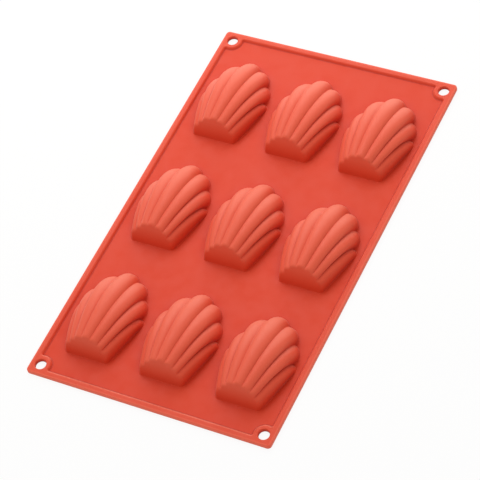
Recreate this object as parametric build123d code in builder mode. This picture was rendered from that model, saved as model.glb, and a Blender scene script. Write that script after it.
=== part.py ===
# A silicone mould for nine madeleines, lying on its flat open face with the shells upwards.
# The moulding is divided along its own lines into pieces that meet face to face: the four bars of
# the rim, the four eyelets in its corners, the sheet with its nine mouths, and the nine shell cups.
# X runs across the mould, Y along it from the shells' narrow ends to their wide tips, and Z up.
# The origin is in the middle of the face that the mould lies on.

import os
from math import atan2, cos, degrees, hypot, radians, sin, tan

from build123d import *

# The sheet and its rim.
mould_width = 175.0
mould_length = 300.0
mould_corner_radius = 3.0
sheet_thickness = 1.5
rim_height = 3.0
rim_width = 5.0
rim_top_width = 4.0
rim_edge_radius = 0.5

# The four hanging eyelets.
eyelet_inset = 7.4
eyelet_radius = 7.4
eyelet_hole_radius = 3.7
eyelet_corner_radius = 0.8

# The room beside the cups on the sheet: from the mould's edge, and from one cup to the next.
side_margin = 8.9
front_margin = 21.7
back_margin = 23.5
column_gap = 6.3
row_gap = 25.7

# The cups, in rows and columns that fill the rest of the mould. Sizes are outside, above the sheet.
column_names = ["left", "middle", "right"]
row_names = ["front", "centre", "back"]
columns = len(column_names)
rows = len(row_names)
cup_width = (mould_width - 2 * side_margin - (columns - 1) * column_gap) / columns
cup_length = (mould_length - front_margin - back_margin - (rows - 1) * row_gap) / rows
cup_height = 16.6
cup_wall = 1.3
end_face_share = 0.656
end_face_width = end_face_share * cup_width
end_face_lean = 23.0

# A cup's form runs on this far under the sheet, so that its cavity opens right through. The fan of
# sections that shapes it turns about a line below that, and starts this far from the line.
foot_overrun = 1.0
fan_clearance = 2.0
fan_depth = sheet_thickness + foot_overrun + fan_clearance

# Right half of a cup's scalloped outline, from the flank past three lobes to the crown lobe.
# Each row gives the place across the foot, the place along the foot, the place across the end
# face and the place up the end face, as shares of half the cup's width, its length, half the end
# face's width and its height. The rows are by turns a groove and the next lobe's outermost point.
flank_shares = (1.0, 0.489, 0.98, 0.55)
outer_lobe_shares = [(0.984, 0.545, 0.92, 0.62), (0.888, 0.575, 0.815, 0.665)]
second_lobe_shares = [(0.898, 0.693, 0.71, 0.76), (0.69, 0.782, 0.535, 0.825)]
third_lobe_shares = [(0.577, 0.891, 0.40, 0.912), (0.297, 0.945, 0.195, 0.948)]
crown_lobe_shares = (0.0, 1.0, 0.0, 1.0)
lobe_shares = [outer_lobe_shares, second_lobe_shares, third_lobe_shares]

# The lobes keep to their places up the end face at first, and draw in to the foot at this power
# of how far the fan has opened.
drawing_in_power = 3

# The crown line, from the top of the end face to the tip, as shares of length and height.
end_face_top_share = 0.91
crown_shares = [
    (0.20, 0.975),
    (0.34, 1.0),
    (0.50, 0.985),
    (0.66, 0.90),
    (0.81, 0.72),
    (0.92, 0.47),
    (0.98, 0.22),
    (1.0, 0.0),
]


def shell_form(length, width, height, end_width):
    """A solid shell whose seven-lobed sections open like a fan from the end face to the foot."""
    lean = tan(radians(end_face_lean))
    hinge_back = fan_depth * lean
    end_top = end_face_top_share * height
    crown = [(end_top * lean, end_top)]
    crown += [(length * along, height * up) for along, up in crown_shares]
    crown += [(length, -sheet_thickness - foot_overrun / 2)]

    with BuildPart() as form:
        for crown_y, crown_z in crown:
            reach = hypot(crown_y + hinge_back, crown_z + fan_depth)
            angle = atan2(crown_z + fan_depth, crown_y + hinge_back)
            opened = (crown_y - end_top * lean) / (length - end_top * lean)

            def point(shares, side):
                foot, along, end, up = shares
                x = opened * foot * width / 2 + (1 - opened) * end * end_width / 2
                foot_reach = (length * along + hinge_back) / (length + hinge_back)
                drawn_in = opened**drawing_in_power
                return (side * x, reach * (up + (foot_reach - up) * drawn_in))

            fan_plane = Plane(
                origin=(0, -hinge_back, -fan_depth),
                x_dir=(1, 0, 0),
                z_dir=(0, -sin(angle), cos(angle)),
            )
            with BuildSketch(fan_plane):
                with BuildLine():
                    Line((-end_width / 2, fan_clearance), (end_width / 2, fan_clearance))
                    for side in (1, -1):
                        start = point(flank_shares, side)
                        Line((side * end_width / 2, fan_clearance), start)
                        for middle_shares, end_shares in lobe_shares:
                            end = point(end_shares, side)
                            ThreePointArc(start, point(middle_shares, side), end)
                            start = end
                    groove = lobe_shares[-1][-1]
                    ThreePointArc(point(groove, 1), point(crown_lobe_shares, 1), point(groove, -1))
                make_face()
        loft()
    return form.part


def pocket_outline():
    """The area inside the rim, with its corners taken up by the eyelets."""
    with BuildSketch() as outline:
        Rectangle(mould_width - 2 * rim_width, mould_length - 2 * rim_width)
        with GridLocations(mould_width - 2 * eyelet_inset, mould_length - 2 * eyelet_inset, 2, 2):
            Circle(eyelet_radius, mode=Mode.SUBTRACT)
        fillet(outline.vertices(), eyelet_corner_radius)
    return outline.sketch


pocket = pocket_outline()
rim_step = rim_height - sheet_thickness
rim_draft = degrees(atan2(rim_width - rim_top_width, rim_step))

# The outer form of a cup stands on the sheet, and its cavity runs on down through the sheet.
outer_form = shell_form(cup_length, cup_width, cup_height, end_face_width)
end_wall = cup_wall / cos(radians(end_face_lean))
cavity_form = Pos(0, end_wall, 0) * shell_form(
    cup_length - cup_wall - end_wall,
    cup_width - 2 * cup_wall,
    cup_height - cup_wall,
    end_face_width - 2 * cup_wall,
)

# The foot of each cup's end face, row by row from the front.
cup_places = {}
for row, row_name in enumerate(row_names):
    for column, column_name in enumerate(column_names):
        cup_places[f"cup_{row_name}_{column_name}"] = (
            (cup_width - mould_width) / 2 + side_margin + column * (cup_width + column_gap),
            -mould_length / 2 + front_margin + row * (cup_length + row_gap),
            sheet_thickness,
        )

# The rim is a raised band round the edge, drafted inside, with a round eyelet in each corner.
with BuildPart() as whole_rim:
    with BuildSketch():
        RectangleRounded(mould_width, mould_length, mould_corner_radius)
    extrude(amount=rim_height)
    outside = whole_rim.edges().group_by(Axis.Z)[-1]
    fillet(outside, rim_edge_radius)
    with BuildSketch():
        add(pocket)
    extrude(amount=sheet_thickness, mode=Mode.SUBTRACT)
    with BuildSketch(Plane.XY.offset(sheet_thickness)):
        add(pocket)
    extrude(amount=rim_step, taper=-rim_draft, mode=Mode.SUBTRACT)
    with GridLocations(mould_width - 2 * eyelet_inset, mould_length - 2 * eyelet_inset, 2, 2):
        Hole(eyelet_hole_radius)

# The sheet fills the rim and is open under each cup.
with BuildPart() as sheet:
    with BuildSketch():
        add(pocket)
    extrude(amount=sheet_thickness)
    with Locations(*cup_places.values()):
        add(cavity_form, mode=Mode.SUBTRACT)

# One cup is the form above the sheet, hollowed by the cavity.
with BuildPart() as one_cup:
    add(outer_form)
    split(bisect_by=Plane.XY, keep=Keep.TOP)
    add(cavity_form, mode=Mode.SUBTRACT)

os.makedirs("parts", exist_ok=True)
sheet.part.label = "sheet"
export_step(sheet.part, "parts/sheet.step")

for name, place in cup_places.items():
    with BuildPart(Plane(origin=place)) as cup:
        add(one_cup.part)
    cup.part.label = name
    export_step(cup.part, f"parts/{name}.step")

# The rim is parted at each eyelet: a square holds the eyelet, and the bars run between them.
eyelet_square = eyelet_inset + eyelet_radius + eyelet_corner_radius
square_x = mould_width / 2 - eyelet_square / 2
square_y = mould_length / 2 - eyelet_square / 2
rim_areas = {
    "rim_left": (-square_x, 0, eyelet_square, mould_length - 2 * eyelet_square),
    "rim_right": (square_x, 0, eyelet_square, mould_length - 2 * eyelet_square),
    "rim_front": (0, -square_y, mould_width - 2 * eyelet_square, eyelet_square),
    "rim_back": (0, square_y, mould_width - 2 * eyelet_square, eyelet_square),
    "eyelet_front_left": (-square_x, -square_y, eyelet_square, eyelet_square),
    "eyelet_front_right": (square_x, -square_y, eyelet_square, eyelet_square),
    "eyelet_back_left": (-square_x, square_y, eyelet_square, eyelet_square),
    "eyelet_back_right": (square_x, square_y, eyelet_square, eyelet_square),
}
for name, (x, y, width, length) in rim_areas.items():
    with BuildPart() as rim_piece:
        add(whole_rim.part)
        with BuildSketch(Plane.XY):
            with Locations((x, y)):
                Rectangle(width, length)
        extrude(amount=rim_height, mode=Mode.INTERSECT)
    rim_piece.part.label = name
    export_step(rim_piece.part, f"parts/{name}.step")
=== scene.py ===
import math

import bmesh
import bpy
import numpy as np
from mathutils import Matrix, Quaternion, Vector
from mathutils.geometry import delaunay_2d_cdt


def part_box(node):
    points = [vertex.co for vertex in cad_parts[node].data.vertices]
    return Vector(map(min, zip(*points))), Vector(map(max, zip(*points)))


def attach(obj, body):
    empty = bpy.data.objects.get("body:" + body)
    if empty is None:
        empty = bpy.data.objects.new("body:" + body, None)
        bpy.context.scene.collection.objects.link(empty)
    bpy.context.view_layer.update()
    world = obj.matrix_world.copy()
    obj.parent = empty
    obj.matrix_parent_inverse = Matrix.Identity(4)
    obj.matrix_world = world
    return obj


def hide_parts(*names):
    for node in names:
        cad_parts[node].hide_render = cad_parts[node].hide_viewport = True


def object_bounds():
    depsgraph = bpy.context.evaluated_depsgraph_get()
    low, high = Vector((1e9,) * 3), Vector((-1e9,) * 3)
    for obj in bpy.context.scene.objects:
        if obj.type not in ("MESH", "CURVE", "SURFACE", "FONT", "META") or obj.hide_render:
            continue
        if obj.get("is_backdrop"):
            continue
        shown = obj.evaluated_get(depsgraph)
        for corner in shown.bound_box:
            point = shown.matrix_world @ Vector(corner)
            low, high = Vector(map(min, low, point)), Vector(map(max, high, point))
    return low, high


# A silicone mould for nine madeleines, lying on its open face with the shells upwards.
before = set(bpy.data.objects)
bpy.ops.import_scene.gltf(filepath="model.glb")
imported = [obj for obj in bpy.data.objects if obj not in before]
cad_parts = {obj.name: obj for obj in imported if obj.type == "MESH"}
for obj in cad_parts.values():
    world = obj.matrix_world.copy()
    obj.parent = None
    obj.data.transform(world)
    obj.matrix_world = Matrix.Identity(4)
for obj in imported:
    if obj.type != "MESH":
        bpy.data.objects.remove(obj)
cadLow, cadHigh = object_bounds()
print("frame loaded:", len(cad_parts), "nodes")

# Shapes are worked out in millimetres and turned into metres as a mesh is made.
mm = 0.001

# The cups stand on the sheet at this height, and their cavities run on down through it.
sheetTop = 1.5


# Camera and light

view = {
    "aim": (-0.00032, -0.01146, 0.0),  # where the middle of the picture meets the floor
    "distance": 1.4705,
    "azimuth": 39.54,  # degrees round from the mould's front end
    "elevation": 51.50,
    "roll": -17.34,
    "lens": 168.96,
    "sensor": 36.0,
}


# Stands at aim + distance * (sin az cos el, -cos az cos el, sin el), looks back at the aim and rolls
# about its own line of sight.
def makeCamera():
    azimuth, elevation = math.radians(view["azimuth"]), math.radians(view["elevation"])
    away = Vector((
        math.sin(azimuth) * math.cos(elevation),
        -math.cos(azimuth) * math.cos(elevation),
        math.sin(elevation),
    ))
    data = bpy.data.cameras.new("camera")
    data.lens = view["lens"]
    data.sensor_width = view["sensor"]
    camera = bpy.data.objects.new("camera", data)
    camera.location = Vector(view["aim"]) + away * view["distance"]
    camera.rotation_mode = "QUATERNION"
    turned = (-away).to_track_quat("-Z", "Y")
    camera.rotation_quaternion = turned @ Quaternion((0, 0, 1), math.radians(view["roll"]))
    bpy.context.scene.collection.objects.link(camera)
    bpy.context.scene.camera = camera


lamps = {
    "keyLamp": {"aim": (-0.42, 0.42, 0.80), "distance": 0.8, "size": 0.5, "power": 1.85},
    "backLamp": {"aim": (-0.30, 0.90, 0.38), "distance": 0.9, "size": 0.9, "power": 3.4},
}


# A square soft lamp out along its aim from the mould, facing back at it.
def makeLamp(name, aim, distance, size, power):
    data = bpy.data.lights.new(name, "AREA")
    data.shape = "SQUARE"
    data.size = size
    data.energy = power
    lamp = bpy.data.objects.new(name, data)
    lamp.location = Vector(aim).normalized() * distance
    lamp.rotation_mode = "QUATERNION"
    lamp.rotation_quaternion = lamp.location.to_track_quat("Z", "Y")
    bpy.context.scene.collection.objects.link(lamp)


sky = {
    "strength": 0.55,
    "slope": (-0.03, -0.015, 0.14),  # how much the sky gains in each direction
    "warmth": (1.0, 0.97, 0.925),
}


# Soft light from all round, of strength + slope . direction. The camera sees plain white.
def makeSky():
    world = bpy.data.worlds.new("studio")
    bpy.context.scene.world = world
    world.use_nodes = True
    nodes, links = world.node_tree.nodes, world.node_tree.links
    nodes.clear()
    soft, white = nodes.new("ShaderNodeBackground"), nodes.new("ShaderNodeBackground")
    soft.inputs["Color"].default_value = (*sky["warmth"], 1)
    white.inputs["Color"].default_value = (1, 1, 1, 1)
    white.inputs["Strength"].default_value = 1.0
    place = nodes.new("ShaderNodeTexCoord")
    dot, gain = nodes.new("ShaderNodeVectorMath"), nodes.new("ShaderNodeMath")
    dot.operation = "DOT_PRODUCT"
    dot.inputs[1].default_value = sky["slope"]
    gain.operation = "ADD"
    gain.inputs[1].default_value = sky["strength"]
    links.new(place.outputs["Generated"], dot.inputs[0])
    links.new(dot.outputs["Value"], gain.inputs[0])
    links.new(gain.outputs[0], soft.inputs["Strength"])
    path, mix = nodes.new("ShaderNodeLightPath"), nodes.new("ShaderNodeMixShader")
    links.new(path.outputs["Is Camera Ray"], mix.inputs[0])
    links.new(soft.outputs[0], mix.inputs[1])
    links.new(white.outputs[0], mix.inputs[2])
    links.new(mix.outputs[0], nodes.new("ShaderNodeOutputWorld").inputs["Surface"])


bpy.context.scene.view_settings.view_transform = "Standard"
makeCamera()
for lampName, lampValues in lamps.items():
    makeLamp(lampName, **lampValues)
makeSky()
print("camera and light made")


# Silicone

silicone = {
    "stretched": (0.85, 0.112, 0.055),  # painted light: paler high up on the cups
    "paintedLightHighBand": (0.0035, 0.013),  # heights at which that starts and is full
    "haze": (0.92, 0.215, 0.135),  # painted highlight: paler on what faces up and back
    "paintedHighlightFacing": (-0.2, 0.75, 0.63),
    "paintedHighlightBand": (0.66, 1.04),  # normal . facing at which it starts and is full
    "crease": (0.46, 0.012, 0.002),  # painted shade: a deeper colour where the skin folds in on itself
    "paintedShadeSamples": 8,
    "paintedFootShadeBand": (0.0015, 0.0021),  # heights between which the painted shade line along the rim's foot fades
    "paintedFootShadeInside": (-0.003, -0.0025),  # it keeps this far in from the mould's outside
    "edge": (0.95, 0.15, 0.085),  # painted light: paler along the mould's thin outer edge
    "paintedEdgeLightBand": (-0.0018, -0.0003),  # where that starts and is full, from the mould's outside
    "mottle": {"scale": 14, "detail": 3, "rough": 0.5},
    "specks": {"scale": 120, "detail": 4, "rough": 0.6},
    "grain": {"scale": 1600, "detail": 3, "rough": 0.6},
    "paleBand": (0.35, 0.65),  # where in the mottle the pale tone starts and is full
    "paleMost": 0.5,
    "deepBand": (0.5, 0.75),  # and where in the specks the deep one does
    "deepMost": 0.35,
    "unevenBand": (0.3, 0.7),  # what of both makes the roughness uneven, by these amounts
    "speckUneven": (-0.05, 0.06),
    "mottleUneven": (-0.03, 0.03),
    "speckHeight": 0.35,  # how much of the height is specks
    "bumpStrength": 0.25,
    "bumpDepth": 0.0003,
    "indexOfRefraction": 1.42,
    "gloss": 0.36,
    "bloom": 0.2,  # the powdery sheen of bare silicone at a low angle
    "bloomTint": (1.0, 0.70, 0.58),
    "bloomRoughness": 0.5,
}

# The cups and the sheet, and what differs on the rim and in the cavities.
plainFinish = {
    "colour": (0.765, 0.049, 0.012),
    "pale": (0.785, 0.057, 0.015),
    "deep": (0.745, 0.042, 0.008),
    "roughness": 0.5,
    "grain": 0.5,
    "paintedShadeReach": 0.010,
    "paintedShadeRange": (0.08, 0.93),  # openness at which the painted shade in a crease is deepest and gone
    "alone": False,  # whether the painted shade in its creases comes from its own piece only
    "fold": 0.0,  # how deep the painted shade line along the rim's foot is
}
rimFinish = plainFinish | {
    # Paler tones than the cups' and the sheet's: painted light on the rim, which stands clear of the cups'
    # shade.
    "colour": (0.82, 0.078, 0.032),
    "pale": (0.83, 0.084, 0.036),
    "deep": (0.80, 0.068, 0.026),
    "paintedShadeReach": 0.002,
    "paintedShadeRange": (0.5, 0.97),
    "alone": True,
    "fold": 0.55,
}
insideFinish = plainFinish | {"roughness": 0.28, "grain": 0.2}


# The skin that all finishes share: a slow mottle between three tones; painted light that makes it paler high
# up the cups, on what faces up and back and along the mould's outer edge; painted shade in a line along the
# rim's foot; with an uneven roughness and a fine grain as height.
def siliconeSkin():
    group = bpy.data.node_groups.new("siliconeSkin", "ShaderNodeTree")
    for name in ("Tone", "Pale", "Deep", "PaintedLightHigh", "PaintedHighlight", "PaintedEdgeLight", "PaintedShade"):
        group.interface.new_socket(name, in_out="INPUT", socket_type="NodeSocketColor")
    for name in ("Roughness", "Grain", "PaintedFootShade"):
        group.interface.new_socket(name, in_out="INPUT", socket_type="NodeSocketFloat")
    group.interface.new_socket("Colour", in_out="OUTPUT", socket_type="NodeSocketColor")
    for name in ("Sheen", "Height"):
        group.interface.new_socket(name, in_out="OUTPUT", socket_type="NodeSocketFloat")
    nodes, links = group.nodes, group.links
    start, end = nodes.new("NodeGroupInput"), nodes.new("NodeGroupOutput")
    place = nodes.new("ShaderNodeTexCoord")

    def noise(scale, detail, rough):
        n = nodes.new("ShaderNodeTexNoise")
        n.inputs["Scale"].default_value = scale
        n.inputs["Detail"].default_value = detail
        n.inputs["Roughness"].default_value = rough
        links.new(place.outputs["Object"], n.inputs["Vector"])
        return n.outputs[0]

    def remap(value, band, span=(0.0, 1.0)):
        n = nodes.new("ShaderNodeMapRange")
        n.inputs["From Min"].default_value, n.inputs["From Max"].default_value = band
        n.inputs["To Min"].default_value, n.inputs["To Max"].default_value = span
        links.new(value, n.inputs["Value"])
        return n.outputs[0]

    def blend(amount, a, b):
        n = nodes.new("ShaderNodeMix")
        n.data_type = "RGBA"
        links.new(amount, n.inputs["Factor"])
        links.new(a, n.inputs[6])
        links.new(b, n.inputs[7])
        return n.outputs[2]

    def sums(kind, a, b=0.0):
        n = nodes.new("ShaderNodeMath")
        n.operation = kind
        links.new(a, n.inputs[0])
        if isinstance(b, float):
            n.inputs[1].default_value = b
        else:
            links.new(b, n.inputs[1])
        return n.outputs[0]

    mottle, specks, grain = (noise(**silicone[key]) for key in ("mottle", "specks", "grain"))
    pale = remap(mottle, silicone["paleBand"], (0.0, silicone["paleMost"]))
    colour = blend(pale, start.outputs["Tone"], start.outputs["Pale"])
    deep = remap(specks, silicone["deepBand"], (0.0, silicone["deepMost"]))
    colour = blend(deep, colour, start.outputs["Deep"])

    where = nodes.new("ShaderNodeSeparateXYZ")
    links.new(place.outputs["Object"], where.inputs[0])
    # Painted light: paler higher up the cups.
    stretched = remap(where.outputs["Z"], silicone["paintedLightHighBand"])
    colour = blend(stretched, colour, start.outputs["PaintedLightHigh"])

    # Painted highlight: paler on what faces up and back, towards the lamps.
    facing = nodes.new("ShaderNodeVectorMath")
    facing.operation = "DOT_PRODUCT"
    facing.inputs[1].default_value = silicone["paintedHighlightFacing"]
    links.new(nodes.new("ShaderNodeNewGeometry").outputs["Normal"], facing.inputs[0])
    haze = remap(facing.outputs["Value"], silicone["paintedHighlightBand"])
    colour = blend(haze, colour, start.outputs["PaintedHighlight"])

    # How far a place is past the mould's outside: the greater of |x| - half width and |y| - half length.
    pastSide = sums("SUBTRACT", sums("ABSOLUTE", where.outputs["X"]), float(cadHigh[0]))
    pastEnd = sums("SUBTRACT", sums("ABSOLUTE", where.outputs["Y"]), float(cadHigh[1]))
    past = sums("MAXIMUM", pastSide, pastEnd)
    # Painted light: paler along the mould's outer edge.
    colour = blend(remap(past, silicone["paintedEdgeLightBand"]), colour, start.outputs["PaintedEdgeLight"])
    # Painted shade: a dark line along the rim's foot, kept inside the mould's outside.
    low = remap(where.outputs["Z"], silicone["paintedFootShadeBand"], (1.0, 0.0))
    within = remap(past, silicone["paintedFootShadeInside"], (1.0, 0.0))
    fold = sums("MULTIPLY", sums("MULTIPLY", low, start.outputs["PaintedFootShade"]), within)
    colour = blend(fold, colour, start.outputs["PaintedShade"])
    links.new(colour, end.inputs["Colour"])

    speckUneven = remap(specks, silicone["unevenBand"], silicone["speckUneven"])
    mottleUneven = remap(mottle, silicone["unevenBand"], silicone["mottleUneven"])
    rough = sums("ADD", sums("ADD", start.outputs["Roughness"], speckUneven), mottleUneven)
    links.new(rough, end.inputs["Sheen"])
    fine = sums("MULTIPLY", grain, start.outputs["Grain"])
    height = sums("ADD", fine, sums("MULTIPLY", specks, silicone["speckHeight"]))
    links.new(height, end.inputs["Height"])
    return group


skinGroup = siliconeSkin()


# One finish of the silicone: its skin, with shade painted into the creases by how little of what is near is
# open.
def siliconeMaterial(name, finish):
    material = bpy.data.materials.new(name)
    material.use_nodes = True
    nodes, links = material.node_tree.nodes, material.node_tree.links
    shader = nodes["Principled BSDF"]
    skin = nodes.new("ShaderNodeGroup")
    skin.node_tree = skinGroup
    for socket, key in (("Tone", "colour"), ("Pale", "pale"), ("Deep", "deep")):
        skin.inputs[socket].default_value = (*finish[key], 1)
    for socket, key in (("PaintedLightHigh", "stretched"), ("PaintedHighlight", "haze"), ("PaintedEdgeLight", "edge"), ("PaintedShade", "crease")):
        skin.inputs[socket].default_value = (*silicone[key], 1)
    for socket, key in (("Roughness", "roughness"), ("Grain", "grain"), ("PaintedFootShade", "fold")):
        skin.inputs[socket].default_value = finish[key]

    # Painted shade: the colour turns to the shade tone where little of what is near is open.
    nearby, openness = nodes.new("ShaderNodeAmbientOcclusion"), nodes.new("ShaderNodeMapRange")
    nearby.samples = silicone["paintedShadeSamples"]
    nearby.only_local = finish["alone"]
    nearby.inputs["Distance"].default_value = finish["paintedShadeReach"]
    deepest, gone = finish["paintedShadeRange"]
    openness.inputs["From Min"].default_value = deepest
    openness.inputs["From Max"].default_value = gone
    shade = nodes.new("ShaderNodeMix")
    shade.data_type = "RGBA"
    shade.inputs[6].default_value = (*silicone["crease"], 1)
    links.new(nearby.outputs["AO"], openness.inputs["Value"])
    links.new(openness.outputs["Result"], shade.inputs["Factor"])
    links.new(skin.outputs["Colour"], shade.inputs[7])
    links.new(shade.outputs[2], shader.inputs["Base Color"])
    links.new(skin.outputs["Sheen"], shader.inputs["Roughness"])

    bump = nodes.new("ShaderNodeBump")
    bump.inputs["Strength"].default_value = silicone["bumpStrength"]
    bump.inputs["Distance"].default_value = silicone["bumpDepth"]
    links.new(skin.outputs["Height"], bump.inputs["Height"])
    links.new(bump.outputs["Normal"], shader.inputs["Normal"])
    shader.inputs["IOR"].default_value = silicone["indexOfRefraction"]
    shader.inputs["Specular IOR Level"].default_value = silicone["gloss"]
    shader.inputs["Sheen Weight"].default_value = silicone["bloom"]
    shader.inputs["Sheen Tint"].default_value = (*silicone["bloomTint"], 1)
    shader.inputs["Sheen Roughness"].default_value = silicone["bloomRoughness"]
    return material


outside = siliconeMaterial("siliconeOutside", plainFinish)
edging = siliconeMaterial("siliconeEdging", rimFinish)
inside = siliconeMaterial("siliconeInside", insideFinish)
print("silicone made")


# Meshes

# Faces between neighbouring rows and columns of a table of point numbers.
def gridFaces(index):
    a, b, c, d = index[:-1, :-1], index[:-1, 1:], index[1:, 1:], index[1:, :-1]
    return np.stack([a, b, c, d], -1).reshape(-1, 4)


# Faces between closed loops of point numbers, one loop to a row.
def loopFaces(loops):
    return gridFaces(np.c_[loops, loops[:, :1]])


# A grid's border in order: first row, last column, last row backwards, first column upwards.
def borderOf(grid):
    return np.concatenate([grid[0], grid[1:, -1], grid[-1, -2::-1], grid[-2:0:-1, 0]])


# Quadratic bend from a past b to c: (1-s)^2 a + 2s(1-s) b + s^2 c.
def bend(a, b, c, share):
    return (1 - share) ** 2 * a + 2 * share * (1 - share) * b + share**2 * c


# The same directions, one unit long.
def unit(vectors):
    return vectors / (np.linalg.norm(vectors, axis=-1, keepdims=True) + 1e-12)


# How far along a line of points each of them lies.
def travelled(line):
    return np.r_[0, np.cumsum(np.linalg.norm(np.diff(line, axis=0), axis=1))]


# Joins the points that lie together, turns the faces outwards and makes the object. The two
# tolerances are in metres, and edges sharper than so many degrees stay sharp.
def makePiece(name, points, faces, materials, slots=None, sharp=50, together=2e-6, thinnest=1e-7):
    mesh = bpy.data.meshes.new(name)
    mesh.from_pydata(np.asarray(points) * mm, [], faces)
    for material in materials:
        mesh.materials.append(material)
    if slots is not None:
        mesh.polygons.foreach_set("material_index", slots)
    work = bmesh.new()
    work.from_mesh(mesh)
    bmesh.ops.remove_doubles(work, verts=work.verts, dist=together)
    bmesh.ops.dissolve_degenerate(work, edges=work.edges, dist=thinnest)
    bmesh.ops.recalc_face_normals(work, faces=work.faces)
    openEdges = sum(1 for e in work.edges if not e.is_manifold)
    work.to_mesh(mesh)
    work.free()
    mesh.polygons.foreach_set("use_smooth", np.ones(len(mesh.polygons), bool))
    mesh.set_sharp_from_angle(angle=math.radians(sharp))
    piece = bpy.data.objects.new(name, mesh)
    bpy.context.scene.collection.objects.link(piece)
    print("made", name, len(mesh.polygons), "faces, open edges", openEdges)
    return piece


# Cups

cup = {
    "width": 48.2,
    "length": 67.8,
    "height": 16.6,
    "wall": 1.3,
    "endFaceShare": 0.656,  # width of the end face, as a share of the cup's
    "lean": math.radians(23.0),
    "fanDepth": 4.5,  # how far below its foot the fan's hinge line lies
    "fanClearance": 2.0,  # and how far from the hinge line its sections start
    "crownCentre": 0.36,  # where the crown's arch is highest, as a share of the length
    "below": 2.0,  # how far the crown line runs on under the foot
    "fade": 3,  # power by which the lobes' places turn from the end face's to the foot's
    "grooveDip": 0.045,  # how much deeper the grooves are half way, as a share of the way out
    "outerDip": 0.4,  # share of that in the outer grooves
    "lobeLift": 0.013,  # how much the lobes rise there
    "dipEarly": 0.6,  # below 1, the dips are deepest nearer the end face
    "dipBreadth": 0.5,  # below 1, they stay near their deepest for longer
    "grooveShare": 0.04,  # share of a lobe's arc that its groove rounds off
    "rollMeet": 8,  # column at which the outer lobe's roll meets its arc
    "rollUp": 0.45,  # how far up the flank the roll's bend reaches
    "rollOver": 0.6,  # and how far back over the lobe
    "edgeRound": 1.1,
    "cornerRound": 2.3,
    "levelBelow": 4.0,  # height over the foot below which the corners' rounding turns level
    "footRound": 0.25,
    "footChord": 0.9,  # how far to either side the foot's outward directions are measured
    "footEase": 1.2,  # how near the end face's corners they start to turn straight forwards
    "insideEdgeRound": 0.7,
    "mouthRound": 0.4,
    "flatRing": 0.2,  # a flat strip past the foot, so that the cup meets the sheet without a crease
}

# How finely a cup's grid is divided.
cupSteps = {
    "lobe": 12,
    "roll": 14,
    "face": 5,
    "belowEdge": [0, 0.12, 0.5, 1.1, 2.0, 3.2, 4.6, 6.4, 8.8, 11.5, 14.5],  # degrees down from the end face
    "down": 29,  # from there to the foot's fillet
    "fillet": 6,
    "crown": 1500,  # points on the crown line, only to measure along it
    "halvings": 30,
}

# Right half of the scalloped outline, from the flank to the crown: place across and along the
# foot, place across and up the end face. By turns a groove and the middle of the next lobe.
lobeShares = np.array([
    (1.0, 0.489, 0.985, 0.45),
    (0.984, 0.545, 0.89, 0.57),
    (0.866, 0.570, 0.74, 0.645),
    (0.898, 0.693, 0.665, 0.765),
    (0.675, 0.774, 0.535, 0.825),
    (0.577, 0.891, 0.40, 0.912),
    (0.292, 0.934, 0.195, 0.948),
    (0.0, 1.0, 0.0, 1.0),
])

# The same for both halves, and how much each of its points dips half way out. Neither the crown
# nor the flanks move.
outlineShares = np.r_[lobeShares, (lobeShares * (-1, 1, -1, 1))[-2::-1]]
lobeCount = len(outlineShares) // 2
dips = np.where(np.arange(len(outlineShares)) % 2, -cup["lobeLift"], cup["grooveDip"])
dips[[2, -3]] *= cup["outerDip"]
dips[[0, lobeCount, -1]] = 0

# A quarter turn, for the fillets at the foot.
quarter = np.radians(np.linspace(0, 90, cupSteps["fillet"] + 1))


# Point at a share of the sweep of the circle through p0, p1 and p2, all arrays (..., 2).
def arcPoint(p0, p1, p2, share):
    a, b = p1 - p0, p2 - p0
    cross = a[..., 0] * b[..., 1] - a[..., 1] * b[..., 0]
    aa, bb = (a**2).sum(-1), (b**2).sum(-1)
    x = (b[..., 1] * aa - a[..., 1] * bb) / (2 * cross)
    y = (a[..., 0] * bb - b[..., 0] * aa) / (2 * cross)
    start = np.arctan2(-y, -x)
    end = np.arctan2(b[..., 1] - y, b[..., 0] - x)
    sweep = np.where(cross > 0, (end - start) % (2 * np.pi), -((start - end) % (2 * np.pi)))
    angle = start + sweep * share
    radius = np.hypot(x, y)
    return p0 + np.stack([x + radius * np.cos(angle), y + radius * np.sin(angle)], -1)


# The columns over the seven lobes. Each has three arcs, its shares of them, and how far it lies along
# the bend between the three points: none on a lobe, and three places in a groove.
def lobeColumns():
    g = cup["grooveShare"]
    plain = g + (1 - 2 * g) * (1 - np.cos(np.linspace(0, np.pi, cupSteps["lobe"] + 1))) / 2
    arcs, shares, bent = [], [], []
    for lobe in range(lobeCount):
        own = plain
        if lobe == 0:
            own = np.r_[0, own]
        if lobe == lobeCount - 1:
            own = np.r_[own, 1]
        arcs += [(lobe, lobe, lobe)] * len(own)
        shares += [(s, s, s) for s in own]
        bent += [0.0] * len(own)
        if lobe < lobeCount - 1:
            arcs += [(lobe, lobe, lobe + 1)] * 3
            shares += [(1 - g, 1.0, g)] * 3
            bent += [0.25, 0.5, 0.75]
    return np.array(arcs), np.array(shares), np.array(bent)[:, None]


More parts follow.
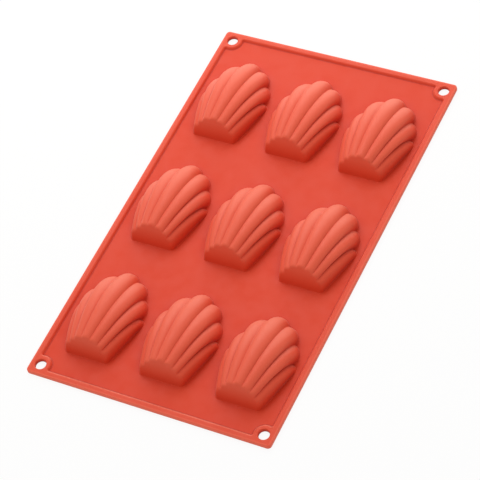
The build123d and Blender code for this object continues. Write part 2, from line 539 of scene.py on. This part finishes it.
# The planes that one side of a cup's wall is drawn in. They turn about a hinge line below the foot of
# the end face, and a point in one has a place across the cup and a distance out from that line.
class Fan:
    def __init__(self, length, width, height, endWidth):
        self.length, self.width, self.height, self.endWidth = length, width, height, endWidth
        self.hinge = cup["fanDepth"] * math.tan(cup["lean"])
        self.centre = cup["crownCentre"] * length
        steepest = math.pi / 2 - cup["lean"]
        self.endTop = self.reach(steepest) * math.cos(steepest) - self.hinge
        self.arcs, self.shares, self.bent = lobeColumns()

        # The crown line: the ellipse (centre + a cos t, height sin t), and on straight down.
        half = length - self.centre
        t = np.arccos((self.endTop - self.centre) / half) * np.linspace(1, 0, cupSteps["crown"])
        line = np.stack([self.centre + half * np.cos(t), height * np.sin(t)], -1)
        line = np.r_[line, [(length, -cup["below"])]]
        self.crownWay = travelled(line)
        self.crownAngles = np.arctan2(line[:, 1] + cup["fanDepth"], line[:, 0] + self.hinge)

    # Distance out to the crown's ellipse, or to the straight wall below its foot.
    def reach(self, angle):
        wall = (self.length + self.hinge) / np.cos(angle)
        along, up = np.cos(angle) / (self.length - self.centre), np.sin(angle) / self.height
        start, drop = (self.centre + self.hinge) / (self.length - self.centre), cup["fanDepth"] / self.height
        both, square = along * start + up * drop, along**2 + up**2
        arch = (both + np.sqrt(np.maximum(both**2 - square * (start**2 + drop**2 - 1), 0))) / square
        return np.where(wall * np.sin(angle) <= cup["fanDepth"], wall, arch)

    # Points on the outline's arcs. With o the share of the way from the end face to the tip, a control
    # point is at o * foot + (1 - o) * end across, and goes from its place up the end face to its place
    # along the foot by o to the power fade, less its dip times sin(pi o^early)^breadth.
    def section(self, arc, share, angle):
        reach = self.reach(angle)
        o = (reach * np.cos(angle) - self.hinge - self.endTop) / (self.length - self.endTop)
        swell = np.sin(np.pi * np.clip(o, 0, 1) ** cup["dipEarly"]) ** cup["dipBreadth"]

        def control(k):
            foot, along, end, up = outlineShares[k].T
            x = o * foot * self.width / 2 + (1 - o) * end * self.endWidth / 2
            along = (self.length * along + self.hinge) / (self.length + self.hinge)
            out = up + (along - up) * o ** cup["fade"] - dips[k] * swell
            return np.stack([x, reach * out], -1)

        return arcPoint(control(2 * arc), control(2 * arc + 1), control(2 * arc + 2), share)

    # The lobed part of the sections at angles (rows, columns).
    def lobes(self, angle):
        return bend(*[self.section(self.arcs[:, k], self.shares[:, k], angle) for k in range(3)], self.bent)

    # From a plane to the cup: (across, out cos a - hinge, out sin a - depth).
    def placed(self, flat, angle):
        along = flat[..., 1] * np.cos(angle) - self.hinge
        return np.stack([flat[..., 0], along, flat[..., 1] * np.sin(angle) - cup["fanDepth"]], -1)

    # Back from the cup to its planes: the flat points, and the planes' angles.
    def flattened(self, solid):
        along, up = solid[..., 1] + self.hinge, solid[..., 2] + cup["fanDepth"]
        return np.stack([solid[..., 0], np.hypot(along, up)], -1), np.arctan2(up, along)

    # Angles at which each column has come down to some heights, by halving between the crown line's
    # last angle and one well above the foot.
    def anglesAt(self, heights, highest=0.6):
        heights = heights[:, None] * np.ones(len(self.arcs))
        under, over = np.full(heights.shape, self.crownAngles[-1]), np.full(heights.shape, highest)
        for _ in range(cupSteps["halvings"]):
            middle = (under + over) / 2
            above = self.placed(self.lobes(middle), middle)[..., 2] > heights
            under, over = np.where(above, under, middle), np.where(above, middle, over)
        return (under + over) / 2


# The lobes from the end face to the foot, as points (rows, columns): rows close together at the end
# face's edge and at the foot's fillet, and even along the crown line between.
def lobeGrid(fan, foot, footRound):
    first = fan.crownAngles[0] - np.radians(cupSteps["belowEdge"])
    last = fan.anglesAt(foot + footRound * (1 - np.sin(quarter)))
    begin, end = (np.interp(-a, -fan.crownAngles, fan.crownWay) for a in (first[-1], last[0]))
    way = begin + (end - begin) * np.linspace(0, 1, cupSteps["down"] + 1)[1:-1, None]
    middle = np.interp(way, fan.crownWay, fan.crownAngles)
    angle = np.r_[first[:, None] * np.ones(len(fan.arcs)), middle, last]
    return fan.placed(fan.lobes(angle), angle), angle[:, 0]


# The outer lobe rolls down to the foot, up the flank from there and over on to the lobe, by the cubic
# bend (1-s)^3 a + 3s(1-s)^2 b + 3s^2(1-s) c + s^3 d. The left side mirrors the right one.
def withRolledSides(fan, lobes, angle, foot, footRound):
    shoulder, meet = lobes[:, 0], cup["rollMeet"]
    inner = np.tile([fan.endWidth / 2, cup["fanClearance"]], (len(angle), 1))
    drop = shoulder - fan.placed(inner, angle)
    rise = shoulder[:, 2:] - foot
    low = np.minimum(footRound, rise / 2) * (1 - np.sin(quarter))[::-1]
    feet = shoulder[:, None] - drop[:, None] * ((rise - low) / drop[:, 2:])[..., None]
    begin, end = feet[:, -1], lobes[:, meet]
    width = np.linalg.norm(end - shoulder, axis=-1, keepdims=True)
    back = unit(lobes[:, meet + 1] - end) * width * cup["rollOver"]
    corners = [begin, begin + (shoulder - begin) * cup["rollUp"], end - back, end]
    s = np.linspace(0, 1, cupSteps["roll"] + 1)[1:-1, None]
    weights = [(1 - s) ** 3, 3 * s * (1 - s) ** 2, 3 * s**2 * (1 - s), s**3]
    roll = sum(w * c[:, None] for w, c in zip(weights, corners))
    side = np.concatenate([feet, roll], 1)
    return np.concatenate([side, lobes[:, meet:-meet], (side * (-1, 1, 1))[:, ::-1]], 1)


# Rounds the edge round the end face, wider towards its foot: a point at a distance d from the face
# moves in by r - sqrt(r^2 - (r - d)^2), square to its section's line, and level near the foot.
def withRoundedEdge(fan, solid, foot, edgeRound, cornerRound):
    flat, angle = fan.flattened(solid)
    distance = flat[..., 1] * np.sin(fan.crownAngles[0] - angle)
    raised = np.clip((solid[..., 2] - foot) / (fan.height / 2), 0, 1)
    radius = cornerRound + (edgeRound - cornerRound) * raised
    inset = radius - np.sqrt(np.maximum(radius**2 - np.maximum(radius - distance, 0) ** 2, 0))
    along = np.gradient(flat, axis=1)
    square = unit(np.stack([along[..., 1], -along[..., 0]], -1))
    square *= np.sign((square * flat).sum(-1, keepdims=True))
    level = np.stack([np.sign(flat[..., 0]), np.zeros(flat.shape[:2])], -1)
    ease = np.clip((solid[..., 2:] - foot) / cup["levelBelow"], 0, 1)
    outwards = square * ease + level * (1 - ease)
    return fan.placed(flat - outwards * inset[..., None], angle)


# The end face, ruled straight down from its edge to points that are spread along its foot as they
# are along its edge.
def ruledFace(edge, foot, footRound):
    rise = edge[:, 2] - foot
    low = np.minimum(footRound, rise / 2)[:, None]
    between = low + (rise[:, None] - low) * np.linspace(0, 1, cupSteps["face"] + 1)[1:-1]
    up = np.c_[low * (1 - np.sin(quarter))[::-1], between].T
    way = travelled(edge)
    footX = edge[0, 0] * (1 - 2 * way / way[-1])
    x = footX + (edge[:, 0] - footX) * up / np.maximum(rise, 1e-9)
    return np.stack([x, (foot + up) * math.tan(cup["lean"]), foot + up], -1)


# Outward directions in plan for a grid's points: square to a chord of the foot line from a little
# before to a little after, easing into straight forwards at the end face's corners.
def outwardInPlan(shell, faceRows, footColumns):
    rows, n = len(shell), footColumns
    line = np.concatenate([shell[:-1, 0, :2], shell[-1, n:-n, :2], shell[:-1, -1, :2][::-1]])
    way = travelled(line)
    reach = cup["footChord"]
    chord = np.stack([np.interp(way + reach, way, c) - np.interp(way - reach, way, c) for c in line.T], -1)
    ease = np.clip(np.minimum(way, way[-1] - way) / cup["footEase"], 0, 1)[:, None]
    outward = unit(unit(np.stack([chord[:, 1], -chord[:, 0]], -1)) * ease + np.array([0, -1]) * (1 - ease))
    push = np.zeros((faceRows + rows, shell.shape[1], 2))
    push[:faceRows] = (0, -1)
    push[faceRows:, :n] = outward[:rows, None]
    push[faceRows:, n:-n] = outward[rows - 1 : -(rows - 1)]
    push[faceRows:, -n:] = outward[-rows:][::-1][:, None]
    return push


# One side of a cup's wall, as a grid of points and the outward directions along its border: rows from
# the end face's foot over its top edge and along the lobes to their foot, columns from the right
# flank to the left one. Near the foot a point moves out by r - sqrt(r^2 - (r - height)^2).
def shellSkin(fan, foot, footRound, edgeRound, cornerRound):
    lobes, angle = lobeGrid(fan, foot, footRound)
    solid = withRolledSides(fan, lobes, angle, foot, footRound)
    shell = withRoundedEdge(fan, solid, foot, edgeRound, cornerRound)
    endFace = ruledFace(shell[0], foot, footRound)
    grid = np.concatenate([endFace, shell], 0)
    push = outwardInPlan(shell, len(endFace), len(quarter) - 1)
    near = np.maximum(footRound - (grid[..., 2] - foot), 0)
    grid[..., :2] += push * (footRound - np.sqrt(np.maximum(footRound**2 - near**2, 0)))[..., None]
    return grid, borderOf(push)


# The outer skin on the sheet, the inner skin open through it, and the rings that join them.
def cupMesh():
    wall = cup["wall"]
    endWall = wall / math.cos(cup["lean"])
    endWidth = cup["endFaceShare"] * cup["width"]
    outerFan = Fan(cup["length"], cup["width"], cup["height"], endWidth)
    outer, outerOut = shellSkin(outerFan, 0.0, cup["footRound"], cup["edgeRound"], cup["cornerRound"])
    innerFan = Fan(cup["length"] - wall - endWall, cup["width"] - 2 * wall, cup["height"] - wall,
                   endWidth - 2 * wall)
    inner = shellSkin(innerFan, -sheetTop, cup["mouthRound"], cup["insideEdgeRound"],
                      cup["cornerRound"] - wall)[0]
    inner[..., 1] += endWall
    ring = borderOf(outer)
    ring[:, :2] += outerOut * cup["flatRing"]
    under = ring * (1, 1, 0) - (0, 0, sheetTop)
    outerIndex = np.arange(outer[..., 0].size).reshape(outer.shape[:2])
    innerIndex = outerIndex + outerIndex.size
    ringIndex = np.arange(2 * len(ring)).reshape(2, -1) + 2 * outerIndex.size
    points = np.concatenate([outer.reshape(-1, 3), inner.reshape(-1, 3), ring, under])
    loops = np.stack([borderOf(outerIndex), ringIndex[0], ringIndex[1], borderOf(innerIndex)])
    shown = np.concatenate([gridFaces(outerIndex), loopFaces(loops)])
    hidden = gridFaces(innerIndex)
    slots = np.repeat([0, 1], [len(shown), len(hidden)])
    return points, np.concatenate([shown, hidden]), slots, ring


cupPoints, cupFaces, cupSlots, cupRing = cupMesh()
cupRings = []
for node in sorted(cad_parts):
    if not node.startswith("cup_"):
        continue
    low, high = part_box(node)
    spot = np.array([(low[0] + high[0]) / 2, low[1], low[2]]) / mm
    piece = makePiece(node.replace("cup_", "shell_"), cupPoints + spot, cupFaces, [outside, inside], cupSlots)
    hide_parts(node)
    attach(piece, "root")
    cupRings.append(cupRing + spot)


# Rim and sheet

tray = {
    "width": 175.0,
    "length": 300.0,
    "cornerRadius": 2.6,
    "rimTop": 3.0,
    "rimFoot": 5.0,  # from the mould's edge to the foot of the rim's inner slope
    "slopeRun": 1.0,
    "slopeFootRound": 0.5,
    "slopeTopRound": 0.7,
    "footStrip": 0.72,  # how much of the sheet beside the slope's foot belongs to the rim's skin
    "edgeRound": 1.0,
    "underRound": 0.5,
    "eyeletInset": 7.4,
    "eyeletRadius": 7.4,
    "eyeletBlend": 0.8,
    "holeRadius": 3.7,
    "holeTopRound": 0.7,
    "holeUnderRound": 0.4,
}

# How many points the rim's curves have.
rimPoints = {"corner": 13, "blend": 8, "eyelet": 30, "hole": 48, "round": 7}


# Adds even points on the long straight runs of a closed loop: point + share * (next - point).
def withRuns(points, normals, longest=20, count=24):
    onward = np.roll(points, -1, 0) - points
    counts = np.where(np.hypot(*onward.T) > longest, count, 1)
    which = np.repeat(np.arange(len(points)), counts)
    share = (np.arange(len(which)) - (np.cumsum(counts) - counts)[which]) / counts[which]
    return points[which] + onward[which] * share[:, None], normals[which]


# A path through the first quarter, taken round all four of them anticlockwise.
def mirrored(points, normals):
    paths = []
    for flip in ((1, 1), (-1, 1), (-1, -1), (1, -1)):
        onward = flip[0] * flip[1]
        paths.append((np.c_[points * flip, normals * flip])[::onward])
    path = np.concatenate(paths)
    return withRuns(path[:, :2], path[:, 2:])


# Points round a middle at some angles, middle + radius * (cos, sin), and the directions to them.
def arcRound(middle, radius, angles):
    aim = np.stack([np.cos(angles), np.sin(angles)], -1)
    return middle + radius * aim, aim


# The mould's edge: a rectangle with round corners, with its outward normals.
def outerPath():
    r = tray["cornerRadius"]
    middle = (tray["width"] / 2 - r, tray["length"] / 2 - r)
    return mirrored(*arcRound(middle, r, np.radians(np.linspace(0, 90, rimPoints["corner"]))))


# The foot of the rim: straight runs, and at each eyelet an arc about its hole with a small blend arc
# at both ends. Normals point away from the sheet.
def pocketPath():
    halfX, halfY = tray["width"] / 2 - tray["rimFoot"], tray["length"] / 2 - tray["rimFoot"]
    eyelet = np.array([tray["width"] / 2 - tray["eyeletInset"], tray["length"] / 2 - tray["eyeletInset"]])
    r, b = tray["eyeletRadius"], tray["eyeletBlend"]
    first = np.array([halfX - b, eyelet[1] - math.sqrt((r + b) ** 2 - (halfX - b - eyelet[0]) ** 2)])
    second = np.array([eyelet[0] - math.sqrt((r + b) ** 2 - (halfY - b - eyelet[1]) ** 2), halfY - b])
    touch1 = math.atan2(*(eyelet - first)[::-1])
    touch2 = math.atan2(*(eyelet - second)[::-1])
    about = np.linspace(touch1 - math.pi, touch2 - math.pi, rimPoints["eyelet"])[1:-1]
    points1, aim1 = arcRound(first, b, np.linspace(0, touch1, rimPoints["blend"]))
    points2, aim2 = arcRound(eyelet, r, about)
    points3, aim3 = arcRound(second, b, np.linspace(touch2, math.pi / 2, rimPoints["blend"]))
    return mirrored(np.concatenate([points1, points2, points3]), np.concatenate([aim1, -aim2, aim3]))


# A profile of (offset, height) carried along a path: point + offset * normal, at the height.
def carried(path, profile):
    points, normals = path
    flat = points[None] + normals[None] * profile[:, None, :1]
    return np.concatenate([flat, np.broadcast_to(profile[:, None, 1:], flat.shape[:2] + (1,))], -1)


# A profile line whose inner corners are bent, each from a cut before it to the same cut after it.
def rounded(corners, cuts):
    corners = np.array(corners, float)
    share = np.linspace(0, 1, rimPoints["round"])[:, None]
    line = [corners[:1]]
    for before, corner, after, cut in zip(corners, corners[1:], corners[2:], cuts):
        start, end = corner + unit(before - corner) * cut, corner + unit(after - corner) * cut
        line.append(bend(start, corner, end, share))
    return np.concatenate(line + [corners[-1:]])


# Fills the flat area between the first loop and the others, at one height, with triangles. The
# output type is the one that keeps what is inside and leaves holes out.
def flatFill(loops, height, outputType=2, together=1e-5):
    points = np.concatenate([loop[:, :2] for loop in loops])
    ends = np.cumsum([0] + [len(loop) for loop in loops])
    outlines = [list(range(a, b)) for a, b in zip(ends[:-1], ends[1:])]
    made = delaunay_2d_cdt([Vector(p) for p in points], [], outlines, outputType, together)
    flat = np.array([(v.x, v.y, height) for v in made[0]])
    return flat, [list(f) for f in made[2]]


# Points and faces of one piece, gathered strip by strip.
class Skin:
    def __init__(self):
        self.points, self.faces, self.count = [], [], 0

    def strip(self, grid):
        index = np.arange(grid.shape[0] * grid.shape[1]).reshape(grid.shape[:2]) + self.count
        self.faces += loopFaces(index).tolist()
        self.points.append(grid.reshape(-1, 3))
        self.count += index.size

    def fill(self, loops, height):
        flat, faces = flatFill(loops, height)
        self.faces += [[k + self.count for k in f] for f in faces]
        self.points.append(flat)
        self.count += len(flat)

    def piece(self, name, material):
        return makePiece(name, np.concatenate(self.points), self.faces, [material])


# Profiles, as offsets outwards and heights: the rim's inner slope with the strip at its foot, its
# outer edge and the wall of a hole. The ends cut off only gave a line its direction.
top, run, strip = tray["rimTop"], tray["slopeRun"], -tray["footStrip"]
slopeRounds = (tray["slopeFootRound"], tray["slopeTopRound"])
slope = rounded([(strip, sheetTop), (0, sheetTop), (run, top), (run + 1, top)], slopeRounds)[:-1]
brim = rounded([(-1, top), (0, top), (0, 0), (-1, 0)], (tray["edgeRound"], tray["underRound"]))[1:-1]
holeRounds = (tray["holeTopRound"], tray["holeUnderRound"])
holeWall = rounded([(1, top), (0, top), (0, 0), (1, 0)], holeRounds)[1:-1]

rimSkin = Skin()
inner = carried(pocketPath(), np.r_[[(strip, 0.0)], slope])
outer = carried(outerPath(), brim)
rimSkin.strip(inner)
rimSkin.strip(outer)
holes = []
inset = tray["eyeletInset"]
wholeTurn = np.radians(np.linspace(0, 360, rimPoints["hole"], endpoint=False))
for side in (-1, 1):
    for end in (-1, 1):
        middle = (side * (tray["width"] / 2 - inset), end * (tray["length"] / 2 - inset))
        holes.append(carried(arcRound(middle, tray["holeRadius"], wholeTurn), holeWall))
        rimSkin.strip(holes[-1])
rimSkin.fill([outer[0], inner[-1]] + [h[0] for h in holes], top)
rimSkin.fill([outer[-1], inner[0]] + [h[-1] for h in holes], 0.0)
rim = rimSkin.piece("rim", edging)
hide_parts(*[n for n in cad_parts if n.startswith(("rim_", "eyelet_"))])
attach(rim, "root")


# A loop without the points that lie on one another.
def plainLoop(loop, together=1e-4):
    return loop[np.hypot(*(loop - np.roll(loop, 1, 0))[:, :2].T) > together]


# The sheet: flat between the rim's strip and the rings round the cups, with a wall down each of them.
sheetSkin = Skin()
border = inner[1]
underBorder = border * (1, 1, 0)
sheetSkin.strip(np.stack([border, underBorder]))
mouths = [plainLoop(ring) for ring in cupRings]
for mouth in mouths:
    sheetSkin.strip(np.stack([mouth * (1, 1, 0) + (0, 0, sheetTop), mouth * (1, 1, 0)]))
sheetSkin.fill([border] + mouths, sheetTop)
sheetSkin.fill([underBorder] + mouths, 0.0)
sheet = sheetSkin.piece("sheetSkin", outside)
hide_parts("sheet")
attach(sheet, "root")
print("rim and sheet made")


# Floor

stage = {
    "size": 3.0,
    "drop": 0.00005,  # keeps the floor just clear of the mould's underside
    "tone": 0.9,
    "roughness": 0.9,
    "cover": 0.9,  # share of plain white in what the camera sees of it
}


# A plain floor, white to the camera but for a share of its own shading, and grey to the mould.
def makeFloor():
    size, drop = stage["size"], stage["drop"]
    mesh = bpy.data.meshes.new("floor")
    corners = [(-size, -size, -drop), (size, -size, -drop), (size, size, -drop), (-size, size, -drop)]
    mesh.from_pydata(corners, [], [(0, 1, 2, 3)])
    floor = bpy.data.objects.new("floor", mesh)
    bpy.context.scene.collection.objects.link(floor)
    material = bpy.data.materials.new("floor")
    material.use_nodes = True
    nodes, links = material.node_tree.nodes, material.node_tree.links
    shader, out = nodes["Principled BSDF"], nodes["Material Output"]
    shader.inputs["Roughness"].default_value = stage["roughness"]
    path, glow = nodes.new("ShaderNodeLightPath"), nodes.new("ShaderNodeEmission")
    tone, cover = nodes.new("ShaderNodeMapRange"), nodes.new("ShaderNodeMath")
    mix = nodes.new("ShaderNodeMixShader")
    tone.inputs["To Min"].default_value = stage["tone"]
    tone.inputs["To Max"].default_value = 1.0
    cover.operation = "MULTIPLY"
    cover.inputs[1].default_value = stage["cover"]
    links.new(path.outputs["Is Camera Ray"], tone.inputs["Value"])
    links.new(tone.outputs["Result"], shader.inputs["Base Color"])
    links.new(path.outputs["Is Camera Ray"], cover.inputs[0])
    links.new(cover.outputs[0], mix.inputs[0])
    links.new(shader.outputs[0], mix.inputs[1])
    links.new(glow.outputs[0], mix.inputs[2])
    links.new(mix.outputs[0], out.inputs["Surface"])
    mesh.materials.append(material)
    floor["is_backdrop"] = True


makeFloor()

nowLow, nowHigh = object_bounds()
for label, low, high in (("cad", cadLow, cadHigh), ("visual", nowLow, nowHigh)):
    print(label, "bounds in mm", [round(v / mm, 2) for v in (*low, *high)])
